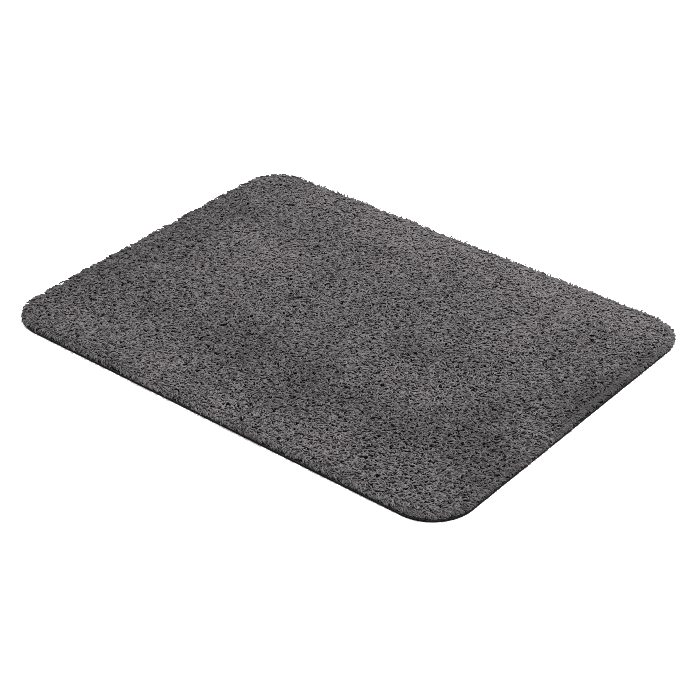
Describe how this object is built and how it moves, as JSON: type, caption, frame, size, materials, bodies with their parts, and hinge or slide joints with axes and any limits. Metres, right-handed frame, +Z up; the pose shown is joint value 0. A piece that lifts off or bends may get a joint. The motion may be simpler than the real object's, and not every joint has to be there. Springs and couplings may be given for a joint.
{
  "type": "bath mat",
  "caption": "Rectangular tufted bath mat with rounded corners: dense dark-grey cut pile on a woven cloth, overlocked edge and black non-slip rubber backing.",
  "frame": {"origin": "centre of the mat's underside, on the floor", "axes": "+X along the long side, +Y along the short side, +Z up through the pile"},
  "size_m": [0.8, 0.6, 0.012],
  "materials": {
    "grip_rubber": "matt black latex with a fine moulded grip texture",
    "lock_latex": "dull cured latex",
    "backing_cloth": "plain-woven cloth",
    "overlock_yarn": "matt twisted yarn, dark grey",
    "pile_yarn": "soft matt twisted yarn, charcoal grey",
    "label_satin": "satin tape",
    "sewing_thread": "polyester thread"
  },
  "bodies": {
    "root": {"grip_backing": "grip_rubber", "lock_coat": "lock_latex", "primary_backing": "backing_cloth", "edge_overlock": "overlock_yarn", "tufted_pile": "pile_yarn", "care_label": "label_satin", "label_stitching": "sewing_thread"}
  },
  "joints": []
}
